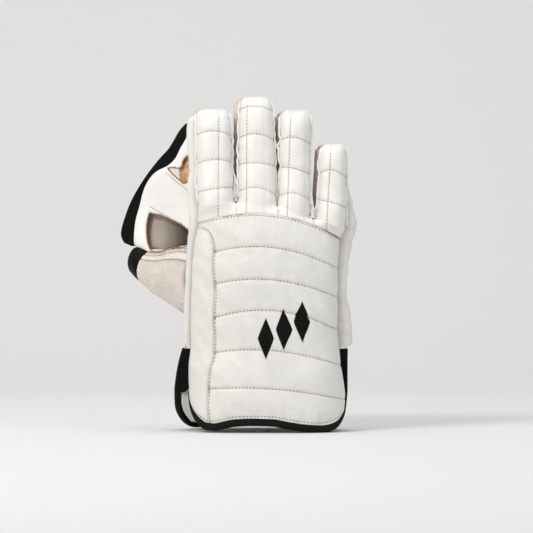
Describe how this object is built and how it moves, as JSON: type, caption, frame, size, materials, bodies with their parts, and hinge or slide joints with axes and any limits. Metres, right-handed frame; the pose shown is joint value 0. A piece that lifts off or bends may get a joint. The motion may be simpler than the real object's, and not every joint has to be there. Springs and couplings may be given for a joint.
{
  "type": "wicketkeeping glove",
  "caption": "Right-hand wicketkeeping glove with quilted white leather back, padded finger stalls, pimpled palm and thumb, and a cut-out catching web edged in black.",
  "frame": {"origin": "middle of the glove's bounding box, on the surface that its cuff stands on", "axes": "+Z from cuff to fingertips, +Y from the back of the hand towards the palm, -X towards the thumb"},
  "size_m": [0.2244, 0.1326, 0.316],
  "materials": {
    "white_leather": "satin, fine grain",
    "palm_rubber": "matt, pimpled",
    "thumb_rubber": "matt, pimpled",
    "chamois": "soft matt",
    "suede": "matt suede",
    "black_leather": "satin",
    "black_binding": "woven, matt",
    "black_elastic": "ribbed elastic"
  },
  "bodies": {
    "root": {"hand_back": "white_leather", "thumb_side_panel": "white_leather", "hem_binding": "black_binding", "knuckle_panel": "white_leather", "thumb_side_welt": "white_leather", "outer_side_gusset": "white_leather", "left_slit_gusset": "black_elastic", "right_slit_gusset": "black_elastic", "palm_facing": "palm_rubber", "palm_cuff": "white_leather", "palm_cuff_binding": "black_binding", "thumb_back": "thumb_rubber", "thumb_top_strip": "white_leather", "thumb_crotch_gusset": "chamois", "thumb_facing": "palm_rubber", "thumb_tip": "black_leather", "web_panel": "white_leather", "web_band": "black_leather", "web_backing": "chamois", "web_suede_tab": "suede", "index_middle_gusset": "chamois", "middle_ring_gusset": "chamois", "ring_little_gusset": "chamois", "index_back": "white_leather", "index_facing": "palm_rubber", "middle_back": "white_leather", "middle_facing": "palm_rubber", "ring_back": "white_leather", "ring_facing": "palm_rubber", "little_back": "white_leather", "little_facing": "palm_rubber"}
  },
  "joints": []
}
